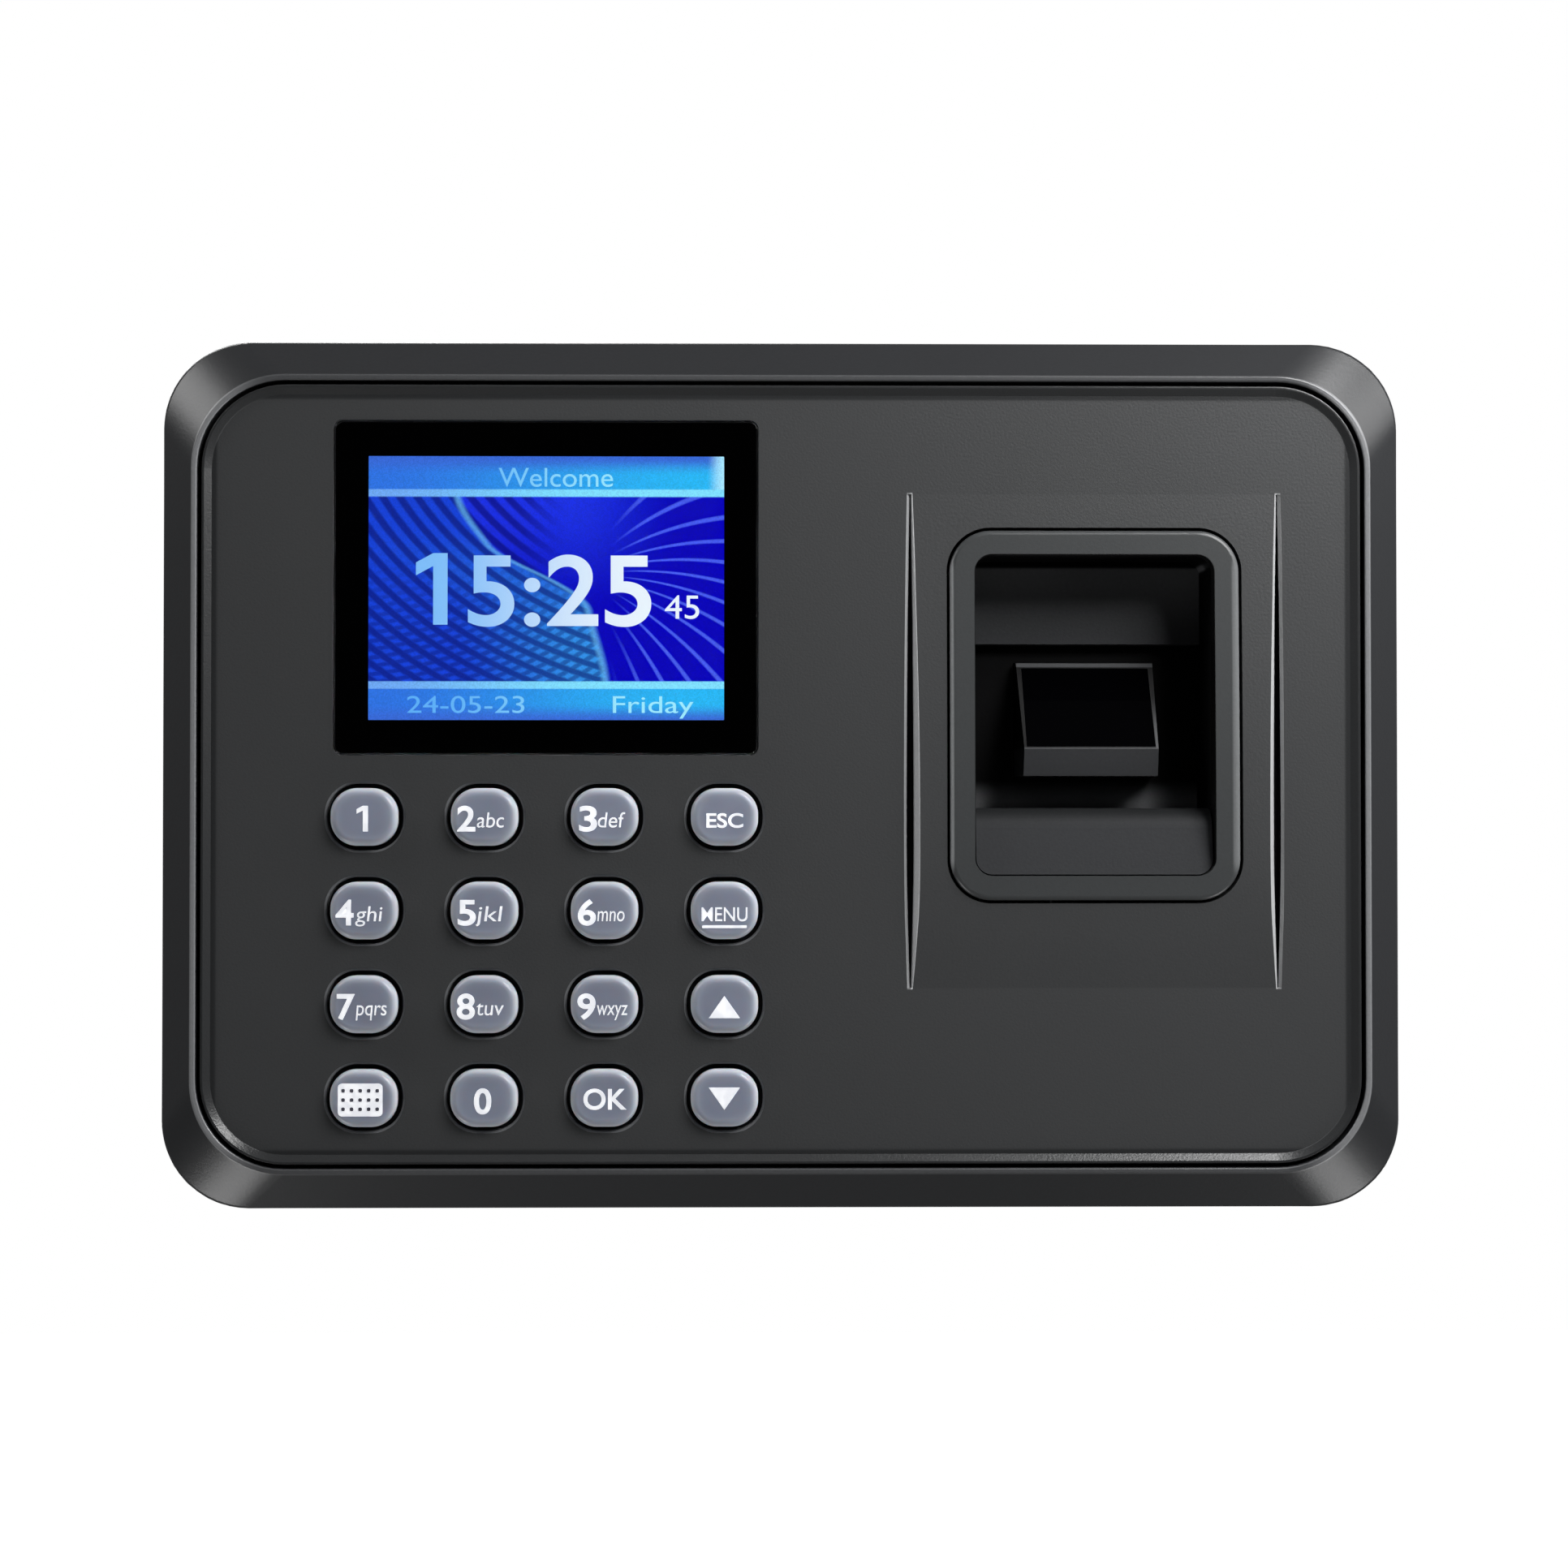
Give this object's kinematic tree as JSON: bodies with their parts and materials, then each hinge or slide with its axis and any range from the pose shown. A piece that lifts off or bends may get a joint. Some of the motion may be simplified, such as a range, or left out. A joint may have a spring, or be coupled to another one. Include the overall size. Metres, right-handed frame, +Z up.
{
  "type": "fingerprint scanner terminal",
  "caption": "Wall-hung fingerprint time-clock terminal with a colour display, a translucent keypad and a tilted glass finger prism in a raised well.",
  "frame": {"origin": "centre of the wall plate's back face, on the wall and in the middle of its four screw holes", "axes": "+X to the viewer's right, +Z up, front faces -Y, so +Y points into the wall"},
  "size_m": [0.18, 0.0328, 0.126],
  "materials": {
    "case_plastic": "black satin ABS",
    "panel_plastic": "dark grey matt texture",
    "cover_plastic": "black matt ABS",
    "bezel_plastic": "dark grey satin",
    "well_plastic": "dark grey satin",
    "inner_plastic": "black matt",
    "key_rubber": "translucent pale lavender silicone",
    "mat_rubber": "translucent silicone",
    "foam": "black foam",
    "window": "clear polished acrylic",
    "black_print": "black print",
    "display_glass": "lit colour display",
    "prism_glass": "dark polished glass",
    "tray_metal": "tin plate",
    "steel": "zinc plated steel",
    "black_metal": "black coated",
    "plate_metal": "galvanised",
    "circuit_board": "green solder mask",
    "flex_film": "amber polyimide film",
    "chip_black": "moulded epoxy",
    "gold": "gold plated",
    "led_white": "white LED body",
    "led_green": "LED body",
    "cell_steel": "nickel plated",
    "socket_white": "natural nylon",
    "label_paper": "printed film",
    "cone_paper": "pressed paper",
    "brass_part": "brass",
    "capacitor_sleeve": "aluminium can"
  },
  "bodies": {
    "wall_plate": {"wall_plate": "plate_metal", "lock_screw": "steel"},
    "terminal": {"front_frame": "case_plastic", "face_panel": "panel_plastic", "rear_cover": "cover_plastic", "rear_label": "label_paper", "display_lens": "window", "display_mask": "black_print", "display_gasket": "foam", "display_panel": "display_glass", "display_tray": "tray_metal", "display_flex": "flex_film", "keypad_mat": "mat_rubber", "keypad_skirts": "mat_rubber", "key_contacts": "gold", "key_lights": "led_white", "scanner_bezel": "bezel_plastic", "scanner_hood": "well_plastic", "scanner_prism": "prism_glass", "scanner_holder": "inner_plastic", "scanner_lens": "black_metal", "scanner_board": "circuit_board", "scanner_lights": "led_green", "prism_surround": "well_plastic", "main_board": "circuit_board", "processor": "chip_black", "memory_chips": "chip_black", "crystal": "cell_steel", "capacitors": "capacitor_sleeve", "coin_cell": "cell_steel", "coin_cell_holder": "inner_plastic", "cable_sockets": "socket_white", "reset_switch": "chip_black", "reset_plunger": "socket_white", "usb_shell": "cell_steel", "usb_tongue": "socket_white", "power_jack": "chip_black", "power_jack_pin": "brass_part", "speaker_frame": "black_metal", "speaker_cone": "cone_paper", "case_screws": "steel", "threaded_inserts": "brass_part", "board_screws": "steel", "panel_screws": "steel"},
    "key_1": {"key_1": "key_rubber"},
    "key_2": {"key_2": "key_rubber"},
    "key_3": {"key_3": "key_rubber"},
    "key_esc": {"key_esc": "key_rubber"},
    "key_4": {"key_4": "key_rubber"},
    "key_5": {"key_5": "key_rubber"},
    "key_6": {"key_6": "key_rubber"},
    "key_menu": {"key_menu": "key_rubber"},
    "key_7": {"key_7": "key_rubber"},
    "key_8": {"key_8": "key_rubber"},
    "key_9": {"key_9": "key_rubber"},
    "key_up": {"key_up": "key_rubber"},
    "key_input": {"key_input": "key_rubber"},
    "key_0": {"key_0": "key_rubber"},
    "key_ok": {"key_ok": "key_rubber"},
    "key_down": {"key_down": "key_rubber"}
  },
  "joints": [
    {"name": "terminal_lift", "type": "slide", "parent": "wall_plate", "child": "terminal", "axis": [0, 0, 1], "range_m": [0, 0.0065]},
    {"name": "key_1_press", "type": "slide", "parent": "terminal", "child": "key_1", "axis": [0, 1, 0], "range_m": [0, 0.0012], "stiffness_N_per_m": 500, "deforming": ["keypad_skirts"]},
    {"name": "key_2_press", "type": "slide", "parent": "terminal", "child": "key_2", "axis": [0, 1, 0], "range_m": [0, 0.0012], "stiffness_N_per_m": 500, "deforming": ["keypad_skirts"]},
    {"name": "key_3_press", "type": "slide", "parent": "terminal", "child": "key_3", "axis": [0, 1, 0], "range_m": [0, 0.0012], "stiffness_N_per_m": 500, "deforming": ["keypad_skirts"]},
    {"name": "key_esc_press", "type": "slide", "parent": "terminal", "child": "key_esc", "axis": [0, 1, 0], "range_m": [0, 0.0012], "stiffness_N_per_m": 500, "deforming": ["keypad_skirts"]},
    {"name": "key_4_press", "type": "slide", "parent": "terminal", "child": "key_4", "axis": [0, 1, 0], "range_m": [0, 0.0012], "stiffness_N_per_m": 500, "deforming": ["keypad_skirts"]},
    {"name": "key_5_press", "type": "slide", "parent": "terminal", "child": "key_5", "axis": [0, 1, 0], "range_m": [0, 0.0012], "stiffness_N_per_m": 500, "deforming": ["keypad_skirts"]},
    {"name": "key_6_press", "type": "slide", "parent": "terminal", "child": "key_6", "axis": [0, 1, 0], "range_m": [0, 0.0012], "stiffness_N_per_m": 500, "deforming": ["keypad_skirts"]},
    {"name": "key_menu_press", "type": "slide", "parent": "terminal", "child": "key_menu", "axis": [0, 1, 0], "range_m": [0, 0.0012], "stiffness_N_per_m": 500, "deforming": ["keypad_skirts"]},
    {"name": "key_7_press", "type": "slide", "parent": "terminal", "child": "key_7", "axis": [0, 1, 0], "range_m": [0, 0.0012], "stiffness_N_per_m": 500, "deforming": ["keypad_skirts"]},
    {"name": "key_8_press", "type": "slide", "parent": "terminal", "child": "key_8", "axis": [0, 1, 0], "range_m": [0, 0.0012], "stiffness_N_per_m": 500, "deforming": ["keypad_skirts"]},
    {"name": "key_9_press", "type": "slide", "parent": "terminal", "child": "key_9", "axis": [0, 1, 0], "range_m": [0, 0.0012], "stiffness_N_per_m": 500, "deforming": ["keypad_skirts"]},
    {"name": "key_up_press", "type": "slide", "parent": "terminal", "child": "key_up", "axis": [0, 1, 0], "range_m": [0, 0.0012], "stiffness_N_per_m": 500, "deforming": ["keypad_skirts"]},
    {"name": "key_input_press", "type": "slide", "parent": "terminal", "child": "key_input", "axis": [0, 1, 0], "range_m": [0, 0.0012], "stiffness_N_per_m": 500, "deforming": ["keypad_skirts"]},
    {"name": "key_0_press", "type": "slide", "parent": "terminal", "child": "key_0", "axis": [0, 1, 0], "range_m": [0, 0.0012], "stiffness_N_per_m": 500, "deforming": ["keypad_skirts"]},
    {"name": "key_ok_press", "type": "slide", "parent": "terminal", "child": "key_ok", "axis": [0, 1, 0], "range_m": [0, 0.0012], "stiffness_N_per_m": 500, "deforming": ["keypad_skirts"]},
    {"name": "key_down_press", "type": "slide", "parent": "terminal", "child": "key_down", "axis": [0, 1, 0], "range_m": [0, 0.0012], "stiffness_N_per_m": 500, "deforming": ["keypad_skirts"]}
  ]
}
